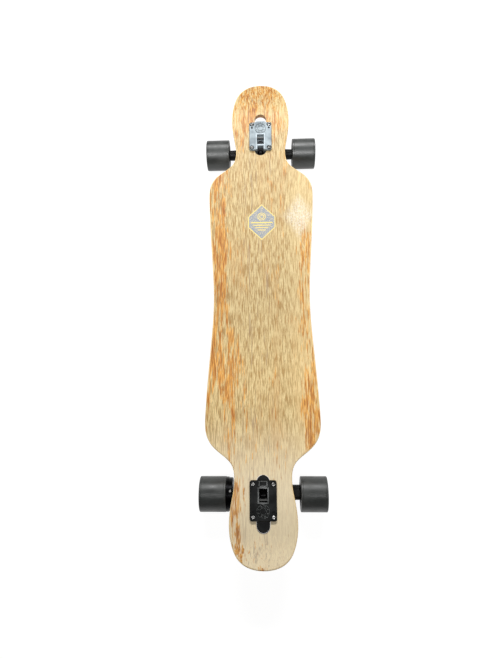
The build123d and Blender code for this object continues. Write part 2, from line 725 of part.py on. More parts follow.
with BuildPart() as enclosure_shell:
    with BuildSketch(Plane.XY.offset(flange_top_z - rim_thickness)):
        RectangleRounded(2 * rim_half_x, 2 * rim_half_y, 16)
    extrude(amount=rim_thickness)
    with BuildSketch(Plane.XY.offset(tray_bottom_z)):
        RectangleRounded(2 * tray_half_x, 2 * tray_half_y, 14)
    extrude(amount=flange_top_z - tray_bottom_z)
    fillet(enclosure_shell.faces().sort_by(Axis.Z)[0].edges(), 4)
    with BuildSketch(Plane.XY.offset(tray_floor_z)):
        RectangleRounded(2 * (tray_half_x - tray_wall), 2 * (tray_half_y - tray_wall), 11.5)
    extrude(amount=flange_top_z - tray_floor_z, mode=Mode.SUBTRACT)
    with BuildSketch(Plane.XY.offset(flange_top_z - rim_thickness)):
        with Locations(*screw_spots):
            Circle(screw_radius + 0.2)
    extrude(amount=rim_thickness, mode=Mode.SUBTRACT)
    add_ring(port(button_y), 8, 0, tray_half_x - tray_wall, tray_half_x, mode=Mode.SUBTRACT)
    add_ring(port(socket_y), 7, 0, tray_half_x - tray_wall, tray_half_x, mode=Mode.SUBTRACT)
    with BuildSketch(Plane.XZ.offset(tray_half_y)):
        with Locations((gland_x, port_z)):
            Circle(5)
    extrude(amount=-tray_wall, mode=Mode.SUBTRACT)
    # shallow cooling ribs under the controller
    with BuildSketch(Plane.XY.offset(tray_bottom_z)):
        with Locations(*[(x, -135) for x in range(-40, 41, 10)]):
            SlotOverall(90, 4, rotation=90)
    extrude(amount=1, mode=Mode.SUBTRACT)
finish(enclosure_shell, "enclosure_shell")

with BuildPart() as enclosure_gasket:
    with BuildSketch(Plane.XY.offset(flange_top_z)):
        RectangleRounded(2 * rim_half_x - 1, 2 * rim_half_y - 1, 15.5)
        RectangleRounded(2 * (tray_half_x - tray_wall), 2 * (tray_half_y - tray_wall), 11.5,
                         mode=Mode.SUBTRACT)
        with Locations(*screw_spots):
            Circle(screw_radius + 0.2, mode=Mode.SUBTRACT)
    extrude(amount=gasket_thickness)
finish(enclosure_gasket, "enclosure_gasket")

with BuildPart() as enclosure_screws:
    with BuildSketch(Plane.XY.offset(flange_top_z - rim_thickness)):
        with Locations(*screw_spots):
            Circle(3.3)
    extrude(amount=-2)
    chamfer(enclosure_screws.faces().sort_by(Axis.Z)[:len(screw_spots)].edges(), 0.6)
    with BuildSketch(Plane.XY.offset(flange_top_z - rim_thickness)):
        with Locations(*screw_spots):
            Circle(screw_radius)
    extrude(amount=rim_thickness + gasket_thickness + 8)
finish(enclosure_screws, "enclosure_screws")

cell_spots = [(side * cell_mid_x, first_cell_y + row * cell_pitch)
              for side in (-1, 1) for row in range(cell_rows)]
cell_end_x = cell_mid_x + cell_length / 2
battery_y = (first_cell_y - 11, first_cell_y + (cell_rows - 1) * cell_pitch + 11)

with BuildPart() as battery_cells:
    for x, y in cell_spots:
        add_ring(Plane(origin=(x, y, cell_z), x_dir=(0, 1, 0), z_dir=(1, 0, 0)),
                 cell_radius, 0, -cell_length / 2, cell_length / 2)
finish(battery_cells, "battery_cells")

with BuildPart() as cell_holders:
    for x in (-57, -14, 10, 53):
        add_block((x, battery_y[0], tray_floor_z), (x + 4, battery_y[1], cell_z + cell_radius + 1))
    for x, y in cell_spots:
        add_ring(Plane(origin=(x, y, cell_z), x_dir=(0, 1, 0), z_dir=(1, 0, 0)),
                 cell_radius + 0.1, 0, -cell_length / 2, cell_length / 2, mode=Mode.SUBTRACT)
finish(cell_holders, "cell_holders")

with BuildPart() as cell_links:
    for pair in range(cell_rows // 2):
        low_y = first_cell_y + 2 * pair * cell_pitch - 4
        for x in (-cell_end_x - 0.4, cell_end_x):
            add_block((x, low_y, cell_z - 4), (x + 0.4, low_y + cell_pitch + 8, cell_z + 4))
    for row in range(cell_rows):
        y = first_cell_y + row * cell_pitch
        add_block((-1, y - 4, cell_z - 4), (1, y + 4, cell_z + 4))
finish(cell_links, "cell_links")

with BuildPart() as bms_board:
    add_block((-40, -60, 62), (40, -16, 63.6))
    for x in (-34, 34):
        for y in (-55, -21):
            add_block((x - 3, y - 3, tray_floor_z), (x + 3, y + 3, 62))
    for x in (-28, -14, 14, 28):
        add_block((x - 4, -52, 63.6), (x + 4, -42, 66))
    add_block((-7, -50, 63.6), (7, -36, 65.2))
finish(bms_board, "bms_board")

with BuildPart() as controller_heatsink:
    add_block((-45, -185, tray_floor_z), (45, -85, tray_floor_z + 3))
    for x in range(-44, 45, 8):
        add_block((x - 1, -185, tray_floor_z + 3), (x + 1, -85, tray_floor_z + 8))
finish(controller_heatsink, "controller_heatsink")

board_z = tray_floor_z + 8
with BuildPart() as motor_controller:
    add_block((-45, -185, board_z), (45, -85, board_z + 1.6))
    for x in range(-35, 36, 14):
        add_block((x - 4, -176, board_z + 1.6), (x + 4, -162, board_z + 6))
    with BuildSketch(Plane.XY.offset(board_z + 1.6)):
        with Locations((-30, -100), (-14, -100)):
            Circle(6)
    extrude(amount=13)
    add_block((12, -140, board_z + 1.6), (26, -126, board_z + 3.2))
finish(motor_controller, "motor_controller")

with BuildPart() as power_leads:
    for x in (5, 16):
        with BuildLine(Plane.YZ.offset(x)):
            FilletPolyline((-30, 64.6), (-36, 76), (-80, 76), (-95, 66), radius=4)
        with BuildSketch(Plane(origin=(x, -30, 64.6), x_dir=(1, 0, 0), z_dir=(0, -6, 11.4))):
            Circle(2)
        sweep()
finish(power_leads, "power_leads")

with BuildPart() as switch_housing:
    add_ring(port(button_y), 8, 0, 55, tray_half_x)
    add_ring(port(button_y), 10.5, 0, tray_half_x, tray_half_x + 2)
    add_ring(port(button_y), button_radius + running_gap, 0, spring_seat_x, tray_half_x + 2,
             mode=Mode.SUBTRACT)
finish(switch_housing, "switch_housing")

with BuildPart() as button_spring:
    add_ring(port(button_y), 4.8, 3.4, spring_seat_x, button_inner_x)
finish(button_spring, "button_spring")

with BuildPart() as power_button:
    add_ring(port(button_y), button_radius, 0, button_inner_x, tray_half_x + 3.4)
    chamfer(power_button.faces().sort_by(Axis.X)[-1].edges(), 0.6)
finish(power_button, "power_button")

hinge = Plane(origin=cap_hinge, x_dir=(1, 0, 0), z_dir=(0, 1, 0))

with BuildPart() as charge_socket:
    add_ring(port(socket_y), 7, 0, 54, tray_half_x)
    add_ring(port(socket_y), 9.5, 0, tray_half_x, tray_half_x + 3)
    for side in (-1, 1):
        ends = sorted((side * 3, side * 6))
        add_ring(hinge, 2, 0, *ends)
        add_block((tray_half_x, socket_y + ends[0], 73), (tray_half_x + 3, socket_y + ends[1], 80.5))
        add_block((tray_half_x, socket_y + ends[0], 77.5), (cap_hinge[0], socket_y + ends[1], 80.5))
    add_ring(port(socket_y), 2.8, 0, tray_half_x - 8, tray_half_x + 3, mode=Mode.SUBTRACT)
    add_ring(hinge, 1, 0, -6, 6, mode=Mode.SUBTRACT)
    add_ring(port(socket_y), 1, 0, tray_half_x - 8, tray_half_x)
finish(charge_socket, "charge_socket")

with BuildPart() as cap_pin:
    add_ring(hinge, 1, 0, -6, 6)
finish(cap_pin, "cap_pin")

with BuildPart() as charge_cap:
    add_ring(port(socket_y), 9.5, 0, tray_half_x + 3.2, tray_half_x + 5.8)
    chamfer(charge_cap.faces().sort_by(Axis.X)[-1].edges(), 0.8)
    add_block((tray_half_x + 3.4, socket_y - 2.7, 72), (tray_half_x + 5.8, socket_y + 2.7, cap_hinge[2]))
    add_ring(hinge, 2, 0, -2.7, 2.7)
    add_ring(hinge, 1 + running_gap, 0, -2.7, 2.7, mode=Mode.SUBTRACT)
finish(charge_cap, "charge_cap")

with BuildPart() as cable_gland:
    gland = Plane(origin=(gland_x, -tray_half_y, port_z), x_dir=(1, 0, 0), z_dir=(0, -1, 0))
    add_ring(gland, 5, 3, -tray_wall - 4, 0)
    add_hex(gland, 8, 3, 0, 5)
    add_ring(gland, 6.5, 3, 5, 12)
    chamfer(cable_gland.faces().sort_by(Axis.Y)[0].edges().sort_by(SortBy.LENGTH)[-1], 1.5)
    add_hex(gland, 7, 5, -tray_wall - 4, -tray_wall)
finish(cable_gland, "cable_gland")
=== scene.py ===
import json
from math import cos, pi, radians, sin

import bmesh
import bpy
from mathutils import Matrix, Vector
from mathutils.bvhtree import BVHTree


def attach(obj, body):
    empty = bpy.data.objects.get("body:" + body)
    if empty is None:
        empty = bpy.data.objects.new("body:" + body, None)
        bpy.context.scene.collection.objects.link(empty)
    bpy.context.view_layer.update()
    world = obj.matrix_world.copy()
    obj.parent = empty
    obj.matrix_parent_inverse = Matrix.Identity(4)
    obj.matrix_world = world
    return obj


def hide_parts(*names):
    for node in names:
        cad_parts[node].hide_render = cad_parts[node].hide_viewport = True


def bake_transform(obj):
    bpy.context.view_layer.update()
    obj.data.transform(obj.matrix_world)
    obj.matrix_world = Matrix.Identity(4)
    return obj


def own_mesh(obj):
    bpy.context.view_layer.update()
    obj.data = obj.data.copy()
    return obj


# The looks of the electric longboard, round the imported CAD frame. Metres, +Y towards the nose.

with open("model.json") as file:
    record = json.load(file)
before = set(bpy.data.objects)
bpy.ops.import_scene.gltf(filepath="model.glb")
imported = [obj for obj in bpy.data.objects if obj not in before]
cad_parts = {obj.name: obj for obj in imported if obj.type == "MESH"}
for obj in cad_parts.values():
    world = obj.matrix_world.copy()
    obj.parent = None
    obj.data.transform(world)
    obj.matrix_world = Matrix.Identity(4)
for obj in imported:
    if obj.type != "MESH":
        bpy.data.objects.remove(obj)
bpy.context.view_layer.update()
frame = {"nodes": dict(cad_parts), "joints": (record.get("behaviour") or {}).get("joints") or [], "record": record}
joints = {joint["name"]: joint for joint in frame["joints"]}
mm = 0.001

# Driving sizes, in millimetres unless they say otherwise
deck_top = 98.0
deck_middle_y = -3.5
kick_start = 375.0  # from the deck's middle to where its ends begin to rise
ply_pair = 2.667  # a light ply and a dark one
deck_thickness = 12.0
flange_top = 6.0  # a baseplate's upper face above the deck
ring_ahead = 11.5  # the bushing ring's centre, in a truck's own frame
ring_drop = 30.8
kingpin_tilt = radians(48)
relief_ahead = 20.5  # the centre of the rings cast on a baseplate
bolt_across = 20.65
bolt_along = 31.75
spare_hole_along = 22.25
bolt_seat = 4.0
wheel_radius = 36.8
wheel_half = 28.3
core_radius = 17.0
core_half = 13.0
motor_can_radius = 29.9
nut_flat = 6.5
upright = (0, 0, 1)


# Materials. Each finish is a small node tree on object coordinates, which are metres in the frame.
class Finish:
    """One procedural material and the few kinds of node that it is made from."""

    def __init__(self, name):
        self.material = bpy.data.materials.new(name)
        self.material.use_nodes = True
        self.nodes = self.material.node_tree.nodes
        self.nodes.clear()
        self.surface = self.nodes.new("ShaderNodeBsdfPrincipled")
        output = self.nodes.new("ShaderNodeOutputMaterial")
        self.join(self.surface.outputs["BSDF"], output.inputs["Surface"])
        self.place = self.nodes.new("ShaderNodeTexCoord").outputs["Object"]
        split = self.nodes.new("ShaderNodeSeparateXYZ")
        self.join(self.place, split.inputs[0])
        self.x, self.y, self.z = split.outputs

    def join(self, value, socket):
        """Give a socket another node's output, a number or a colour."""
        if isinstance(value, bpy.types.NodeSocket):
            self.material.node_tree.links.new(value, socket)
        elif isinstance(value, tuple) and len(value) == 3 and socket.type == "RGBA":
            socket.default_value = (*value, 1.0)
        else:
            socket.default_value = value

    def mapped(self, stretch, shift=(0.0, 0.0, 0.0)):
        node = self.nodes.new("ShaderNodeMapping")
        self.join(self.place, node.inputs["Vector"])
        node.inputs["Scale"].default_value = stretch
        node.inputs["Location"].default_value = shift
        return node.outputs["Vector"]

    def noise(self, scale, detail=2.0, rough=0.5, stretch=(1, 1, 1), shift=(0, 0, 0), bend=0.0):
        node = self.nodes.new("ShaderNodeTexNoise")
        self.join(self.mapped(stretch, shift), node.inputs["Vector"])
        node.inputs["Scale"].default_value = scale
        node.inputs["Detail"].default_value = detail
        node.inputs["Roughness"].default_value = rough
        node.inputs["Distortion"].default_value = bend
        return node.outputs["Fac"]

    def cells(self, scale, stretch=(1, 1, 1)):
        node = self.nodes.new("ShaderNodeTexVoronoi")
        self.join(self.mapped(stretch), node.inputs["Vector"])
        node.inputs["Scale"].default_value = scale
        return node.outputs["Distance"]

    def level(self, value, low, high, start=0.0, end=1.0):
        """start below low, end above high, and a smooth step between."""
        node = self.nodes.new("ShaderNodeMapRange")
        node.interpolation_type = "SMOOTHSTEP"
        for socket, number in zip(node.inputs[:5], (value, low, high, start, end)):
            self.join(number, socket)
        return node.outputs["Result"]

    def maths(self, operation, a, b=0.0):
        node = self.nodes.new("ShaderNodeMath")
        node.operation = operation
        self.join(a, node.inputs[0])
        self.join(b, node.inputs[1])
        return node.outputs[0]

    def mix(self, factor, a, b, mode="MIX"):
        node = self.nodes.new("ShaderNodeMix")
        node.data_type = "RGBA"
        node.blend_type = mode
        self.join(factor, node.inputs[0])
        self.join(a, node.inputs[6])
        self.join(b, node.inputs[7])
        return node.outputs[2]

    def bump(self, height, strength, distance, normal=None):
        node = self.nodes.new("ShaderNodeBump")
        node.inputs["Strength"].default_value = strength
        node.inputs["Distance"].default_value = distance
        self.join(height, node.inputs["Height"])
        if normal is not None:
            self.join(normal, node.inputs["Normal"])
        return node.outputs["Normal"]

    def attribute(self, name):
        node = self.nodes.new("ShaderNodeAttribute")
        node.attribute_name = name
        return node.outputs["Fac"]

    def done(self, colour, roughness, normal=None, metallic=0.0, **constants):
        """Join up the surface. Constants go on the shader's own sockets."""
        self.join(colour, self.surface.inputs["Base Color"])
        self.join(roughness, self.surface.inputs["Roughness"])
        self.join(metallic, self.surface.inputs["Metallic"])
        if normal is not None:
            self.join(normal, self.surface.inputs["Normal"])
        for name, value in constants.items():
            self.join(value, self.surface.inputs[name.replace("_", " ")])
        return self.material


def tone(red, green, blue):
    """A colour given as it is seen, 0 to 255, in the linear values that a shader takes."""
    return tuple((c / 255 / 12.92) if c < 10 else ((c / 255 + 0.055) / 1.055) ** 2.4
                 for c in (red, green, blue))


def heartwood(f):
    """Where the veneer turns orange: left side, right edge, nose and one side of the tail, 0 to 1."""
    drift = f.level(f.y, 0.03, -0.20, 0, 0.048)
    left = f.level(f.maths("SUBTRACT", f.x, drift), -0.066, -0.088)
    left = f.maths("MULTIPLY", left, f.level(f.y, -0.34, -0.10, 0.35))
    right = f.maths("MULTIPLY", f.level(f.x, 0.074, 0.096), f.level(f.y, 0.19, 0.12, 0.25, 0.95))
    nose = f.maths("MULTIPLY", f.level(f.y, 0.36, 0.46), f.level(f.x, 0.075, 0.03, 0.55, 1))
    tail = f.maths("MULTIPLY", f.level(f.y, -0.36, -0.40), f.level(f.x, -0.03, -0.045, 0.1, 0.85))
    return f.maths("MAXIMUM", f.maths("MAXIMUM", left, right), f.maths("MAXIMUM", nose, tail))


def painted_glare(f):
    """Painted glare: a pale, speckled highlight on the coat beside the badge, 0 to 1."""
    across = f.maths("ABSOLUTE", f.maths("SUBTRACT", f.x, 0.088))
    upward = f.maths("ABSOLUTE", f.maths("SUBTRACT", f.y, 0.205))
    away = f.maths("ADD", f.maths("MULTIPLY", across, 1.5), upward)
    speckle = f.level(f.noise(560, 2, 0.6, (1, 0.4, 1)), 0.42, 0.62, 0.25, 1)
    return f.maths("MULTIPLY", f.level(away, 0.075, 0.02, 0, 0.75), speckle)


def wood():
    """Clear-coated veneer over maple plies: short dashes along the board, grit in the coat, bare rims."""
    f = Finish("deck_wood")
    depth = f.attribute("depth")
    dashes = f.noise(520, 3, 0.62, (1, 0.065, 1), bend=0.15)
    strokes = f.noise(300, 3, 0.62, (1, 0.07, 1), shift=(6, 3, 0), bend=0.4)
    fine = f.noise(980, 2, 0.6, (1, 0.16, 1), shift=(4, 1, 0))
    broad = f.noise(42, 3, 0.6, (1, 0.13, 1), shift=(3.1, 0, 0), bend=0.4)
    cloud = f.noise(8, 2, 0.5, (1.5, 0.7, 1), shift=(1.7, 4.2, 0))
    # straw ground, paler by the right edge and on the nose, and paler on the tail with painted light
    base = f.mix(f.level(dashes, 0.42, 0.60), tone(228, 204, 148), tone(174, 138, 78))
    base = f.mix(f.level(fine, 0.52, 0.70, 0, 0.5), base, tone(146, 112, 66))
    base = f.mix(f.level(broad, 0.45, 0.75, 0, 0.4), base, tone(206, 160, 98))
    # painted light: the tail is mixed paler
    base = f.mix(f.level(f.y, -0.24, -0.42, 0, 0.72), base, tone(255, 238, 202))
    base = f.mix(f.level(f.x, 0.045, 0.10, 0, 0.35), base, tone(252, 222, 160))
    base = f.mix(f.level(f.y, 0.40, 0.47, 0, 0.35), base, tone(255, 220, 150))
    # orange strokes, close together in the heartwood and rare elsewhere
    field = f.maths("ADD", f.maths("MULTIPLY", heartwood(f), 0.21), strokes)
    field = f.maths("ADD", field, f.maths("MULTIPLY", f.maths("SUBTRACT", broad, 0.5), 0.5))
    field = f.maths("ADD", field, f.maths("MULTIPLY", f.maths("SUBTRACT", cloud, 0.5), 0.25))
    streak = f.level(field, 0.65, 0.72)
    orange = f.mix(f.level(dashes, 0.42, 0.60), tone(236, 172, 74), tone(178, 104, 20))
    base = f.mix(f.maths("MULTIPLY", streak, 0.9), base, orange)
    base = f.mix(f.level(field, 0.74, 0.86, 0, 0.6), base, tone(160, 92, 34))
    # grey-brown lines down the middle
    middle = f.level(f.maths("ABSOLUTE", f.maths("ADD", f.x, 0.008)), 0.055, 0.012)
    grey = f.level(f.noise(230, 3, 0.6, (1, 0.045, 1), shift=(2, 7, 0), bend=0.6), 0.55, 0.64)
    base = f.mix(f.maths("MULTIPLY", f.maths("MULTIPLY", grey, middle), 0.42), base, tone(146, 122, 104))
    # painted glare on the coat by the right front shoulder
    base = f.mix(painted_glare(f), base, tone(246, 240, 222))
    # painted shade: the front two thirds are multiplied darker than the tail
    base = f.mix(f.level(f.y, -0.22, 0.02), base, (0.78, 0.79, 0.82), "MULTIPLY")
    # rim rounded through the clear veneer, pale bare wood with a painted highlight along the round, then the plies
    # down the side and a plain bottom
    ply = f.maths("SINE", f.maths("MULTIPLY", depth, 2 * pi / (ply_pair * mm)))
    side = f.mix(f.level(ply, -0.25, 0.25), tone(206, 160, 104), tone(150, 98, 54))
    side = f.mix(f.level(fine, 0.3, 0.75, 0, 0.35), side, tone(120, 76, 40))
    base = f.mix(f.level(depth, 0.05 * mm, 0.5 * mm), base, tone(244, 214, 156))
    base = f.mix(f.level(depth, 1.3 * mm, 1.6 * mm), base, side)
    under = f.mix(f.level(dashes, 0.40, 0.62), tone(196, 148, 92), tone(160, 112, 64))
    bottom = f.level(depth, (deck_thickness - 1.4) * mm, (deck_thickness - 0.6) * mm)
    base = f.mix(bottom, base, under)
    # grit cast into the clear coat
    grit = f.noise(800, 2, 0.7)
    rough = f.level(grit, 0.42, 0.70, 0.55, 0.28)
    height = f.maths("ADD", grit, f.maths("MULTIPLY", dashes, 0.6))
    return f.done(base, rough, f.bump(height, 0.8, 0.7 * mm), Specular_IOR_Level=0.35,
                  Coat_Weight=0.12, Coat_Roughness=0.28)


def print_ink(name, colour, fleck):
    """Screen print worn by the grit of the coat."""
    f = Finish(name)
    worn = f.level(f.noise(620, 2, 0.7), 0.50, 0.62)
    base = f.mix(worn, colour, fleck)
    return f.done(base, 0.5, f.bump(f.noise(850, 2, 0.7), 0.4, 0.4 * mm))


def cast_metal(name, light, dark, metallic, roughness, specular=0.4):
    """Sand-cast aluminium, bare or coated, with a pebbled skin and rubbed high spots."""
    f = Finish(name)
    skin = f.noise(900, 3, 0.6)
    patches = f.noise(45, 3, 0.6)
    base = f.mix(f.level(patches, 0.3, 0.7), dark, light)
    base = f.mix(f.level(skin, 0.62, 0.8, 0, 0.35), base, light)
    rough = f.level(patches, 0.3, 0.7, roughness + 0.08, roughness - 0.06)
    return f.done(base, rough, f.bump(skin, 0.25, 0.25 * mm), metallic, Specular_IOR_Level=specular)


def machined(name, colour, roughness):
    """Turned or plated metal with fine tool marks."""
    f = Finish(name)
    marks = f.noise(1500, 2, 0.5, (1, 0.15, 0.15))
    dirt = f.noise(70, 3, 0.6)
    shade = tuple(c * 0.72 for c in colour)
    base = f.mix(f.level(dirt, 0.35, 0.7), colour, shade)
    rough = f.level(dirt, 0.3, 0.7, roughness - 0.05, roughness + 0.12)
    return f.done(base, rough, f.bump(marks, 0.12, 0.05 * mm), 1.0)


def urethane(name, clean, dusty, roughness):
    """Cast urethane: matte, a little dusty, with light scuffs round the tread."""
    f = Finish(name)
    dust = f.noise(35, 4, 0.65)
    specks = f.noise(1100, 2, 0.6)
    scuffs = f.level(f.noise(420, 3, 0.6, (0.25, 1, 1)), 0.60, 0.72)
    base = f.mix(f.level(dust, 0.3, 0.72), clean, dusty)
    base = f.mix(f.maths("MULTIPLY", scuffs, 0.35), base, dusty)
    rough = f.level(dust, 0.3, 0.7, roughness - 0.06, roughness + 0.08)
    return f.done(base, rough, f.bump(specks, 0.2, 0.12 * mm), Specular_IOR_Level=0.6)


def moulded(name, colour, roughness, grain=700.0, depth=0.12):
    """Moulded plastic or rubber with a fine spark-eroded texture."""
    f = Finish(name)
    skin = f.noise(grain, 2, 0.6)
    wear = f.noise(30, 3, 0.6)
    lighter = tuple(min(1.0, c * 1.5 + 0.006) for c in colour)
    base = f.mix(f.level(wear, 0.4, 0.8, 0, 0.6), colour, lighter)
    rough = f.level(wear, 0.3, 0.7, roughness, roughness + 0.1)
    return f.done(base, rough, f.bump(skin, 0.3, depth * mm))


def circuit(name, mask, trace):
    """Solder mask with the tracks that show through it."""
    f = Finish(name)
    tracks = f.level(f.cells(160), 0.28, 0.36)
    base = f.mix(tracks, mask, trace)
    return f.done(base, 0.32, f.bump(tracks, 0.2, 0.05 * mm), Coat_Weight=0.3)


def wound(name, colour):
    """Enamelled wire wound side by side."""
    f = Finish(name)
    turns = f.maths("SINE", f.maths("MULTIPLY", f.x, 2 * pi / (0.7 * mm)))
    base = f.mix(f.level(turns, -0.6, 0.4), tuple(c * 0.45 for c in colour), colour)
    return f.done(base, 0.3, f.bump(turns, 0.6, 0.15 * mm), 0.9)


def stacked(name, colour, pitch):
    """Thin steel sheets pressed into a stack along X."""
    f = Finish(name)
    sheets = f.maths("SINE", f.maths("MULTIPLY", f.x, 2 * pi / pitch))
    base = f.mix(f.level(sheets, -0.5, 0.5), tuple(c * 0.6 for c in colour), colour)
    return f.done(base, 0.4, f.bump(sheets, 0.3, 0.05 * mm), 0.9)


# One finish for each material slot of the record, then those of the details that only the looks have
finishes = {
    "maple": wood(),
    "grey_casting": cast_metal("grey_casting", tone(134, 145, 150), tone(114, 124, 130), 0.2, 0.5),
    "black_casting": cast_metal("black_casting", tone(13, 15, 15), tone(6, 7, 7), 0.0, 0.45, 0.15),
    "bright_steel": machined("bright_steel", tone(170, 170, 168), 0.28),
    "dark_steel": machined("dark_steel", tone(96, 96, 98), 0.34),
    "bearing_steel": machined("bearing_steel", tone(190, 190, 190), 0.22),
    "bushing_urethane": urethane("bushing_urethane", tone(38, 38, 42), tone(58, 58, 60), 0.45),
    "wheel_urethane": urethane("wheel_urethane", tone(31, 34, 32), tone(50, 53, 51), 0.42),
    "core_plastic": moulded("core_plastic", tone(18, 18, 19), 0.45),
    "black_aluminium": machined("black_aluminium", tone(14, 14, 15), 0.3),
    "magnet": machined("magnet", tone(180, 180, 182), 0.2),
    "lamination": stacked("lamination", tone(130, 130, 134), 0.7 * mm),
    "copper": wound("copper", tone(196, 112, 62)),
    "shell_plastic": moulded("shell_plastic", tone(30, 30, 32), 0.55, 500, 0.25),
    "gasket_foam": moulded("gasket_foam", tone(36, 36, 36), 0.85, 900, 0.3),
    "cell_sleeve": moulded("cell_sleeve", tone(36, 104, 132), 0.35),
    "holder_plastic": moulded("holder_plastic", tone(58, 58, 58), 0.5),
    "nickel": machined("nickel", tone(200, 196, 186), 0.25),
    "circuit_board": circuit("circuit_board", tone(18, 84, 46), tone(34, 118, 66)),
    "heatsink": machined("heatsink", tone(186, 186, 188), 0.34),
    "lead_insulation": moulded("lead_insulation", tone(150, 24, 20), 0.5),
    "button_metal": machined("button_metal", tone(170, 170, 172), 0.25),
    "port_plastic": moulded("port_plastic", tone(32, 32, 33), 0.45),
    "cap_rubber": moulded("cap_rubber", tone(28, 28, 28), 0.7),
    # lit and shaded copies of the casting finishes for the baseplate relief: painted highlight on the raised
    # frames, ribs and rear rings, painted shade on the front rings
    "highlit_grey": cast_metal("highlit_grey", tone(164, 174, 180), tone(136, 146, 152), 0.2, 0.45),
    "shaded_grey": cast_metal("shaded_grey", tone(112, 120, 124), tone(78, 86, 90), 0.2, 0.5),
    "highlit_black": cast_metal("highlit_black", tone(44, 48, 47), tone(28, 31, 30), 0.1, 0.32),
    "badge_blue": print_ink("badge_blue", tone(122, 132, 146), tone(206, 190, 150)),
    "badge_yellow": print_ink("badge_yellow", tone(232, 206, 92), tone(214, 190, 130)),
}
slots = {part["node"]: part["material_slot"] for part in frame["record"]["subparts"]}
for node, piece in frame["nodes"].items():
    piece.data.materials.clear()
    piece.data.materials.append(finishes[slots[node]])


# Shaping. Outlines are in millimetres; meshes are in metres.
def add_piece(name, mesh, finish, body, *nodes):
    """Put a finished mesh in the scene, on its body, in its finish, in place of CAD nodes."""
    piece = bpy.data.objects.new(name, mesh)
    bpy.context.scene.collection.objects.link(piece)
    mesh.materials.clear()
    mesh.materials.append(finishes[finish])
    if body:
        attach(piece, body)
    if nodes:
        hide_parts(*nodes)
    return piece


def made_mesh(bm, name, angle=35.0):
    """Turn a bmesh into a mesh with smooth curved faces and crisp edges."""
    bmesh.ops.remove_doubles(bm, verts=bm.verts, dist=1e-6)
    bmesh.ops.recalc_face_normals(bm, faces=bm.faces)
    mesh = bpy.data.meshes.new(name)
    bm.to_mesh(mesh)
    bm.free()
    mesh.shade_smooth()
    mesh.set_sharp_from_angle(angle=radians(angle))
    return mesh


def add_made(name, bm, finish, body, *nodes):
    """Add a piece straight from a bmesh."""
    return add_piece(name, made_mesh(bm, name), finish, body, *nodes)


def rounded(points, steps=4):
    """A closed outline from (x, y, corner radius) points, each corner turned into a curve."""
    outline = []
    count = len(points)
    for i, (x, y, radius) in enumerate(points):
        here = Vector((x, y))
        if radius <= 0:
            outline.append(here)
            continue
        before = Vector(points[i - 1][:2]) - here
        after = Vector(points[(i + 1) % count][:2]) - here
        half = before.angle(after) / 2
        longest = min(before.length, after.length) * 0.49
        reach = min(radius / max(abs(sin(half) / cos(half)), 1e-6), longest)
        first = here + before.normalized() * reach
        last = here + after.normalized() * reach
        for k in range(steps + 1):
            t = k / steps
            outline.append(first * (1 - t) ** 2 + here * 2 * t * (1 - t) + last * t ** 2)
    return outline


def box_outline(x0, y0, x1, y1, radius=0.0):
    """A rectangle with rounded corners."""
    return rounded([(x0, y0, radius), (x1, y0, radius), (x1, y1, radius), (x0, y1, radius)], 3)


def spin_into(bm, outline, origin, along, segments=72):
    """Turn a closed outline of (distance along, radius) round an axis."""
    along = Vector(along).normalized()
    side = along.orthogonal().normalized()
    up = along.cross(side)
    rings = []
    for k in range(segments):
        angle = 2 * pi * k / segments
        out = side * cos(angle) + up * sin(angle)
        rings.append([bm.verts.new(Vector(origin) + along * p.x * mm + out * p.y * mm) for p in outline])
    for k, ring in enumerate(rings):
        following = rings[(k + 1) % segments]
        for i in range(len(ring)):
            j = (i + 1) % len(ring)
            if outline[i].y < 1e-6 and outline[j].y < 1e-6:
                continue
            bm.faces.new((ring[i], ring[j], following[j], following[i]))


def lathe(name, outline, origin, along, segments=72):
    """A mesh of one turned outline."""
    bm = bmesh.new()
    spin_into(bm, outline, origin, along, segments)
    return made_mesh(bm, name)


def prism_into(bm, outline, place, low, high, bevel=0.0):
    """Raise a closed outline from low to high in a local frame, its top edge bevelled."""
    middle = sum(outline, Vector((0, 0))) / len(outline)
    rings = []
    levels = [(low, 0.0), (high - bevel, 0.0), (high, bevel)] if bevel else [(low, 0.0), (high, 0.0)]
    for height, inset in levels:
        ring = []
        for p in outline:
            q = p + (middle - p).normalized() * inset
            ring.append(bm.verts.new(place @ Vector((q.x * mm, q.y * mm, height * mm))))
        rings.append(ring)
    for first, second in zip(rings, rings[1:]):
        for i in range(len(outline)):
            j = (i + 1) % len(outline)
            bm.faces.new((first[i], first[j], second[j], second[i]))
    bm.faces.new(rings[0])
    bm.faces.new(rings[-1])


def joint_place(name):
    """A wheel's centre and the side that it is on, 1 for right and -1 for left."""
    centre = Vector(joints[name]["pos_m"])
    return centre, 1 if centre.x > 0 else -1


def truck_place(joint_name, heading):
    """A truck's own frame: origin on the deck's top face, y towards the nearer tip."""
    ring = Vector(joints[joint_name]["pos_m"])
    origin = Vector((0, ring.y - heading * ring_ahead * mm, deck_top * mm))
    return Matrix.Translation(origin) @ Matrix.Rotation(0 if heading > 0 else pi, 4, "Z")


truck_places = {"front": truck_place("front_steer", 1), "rear": truck_place("rear_steer", -1)}


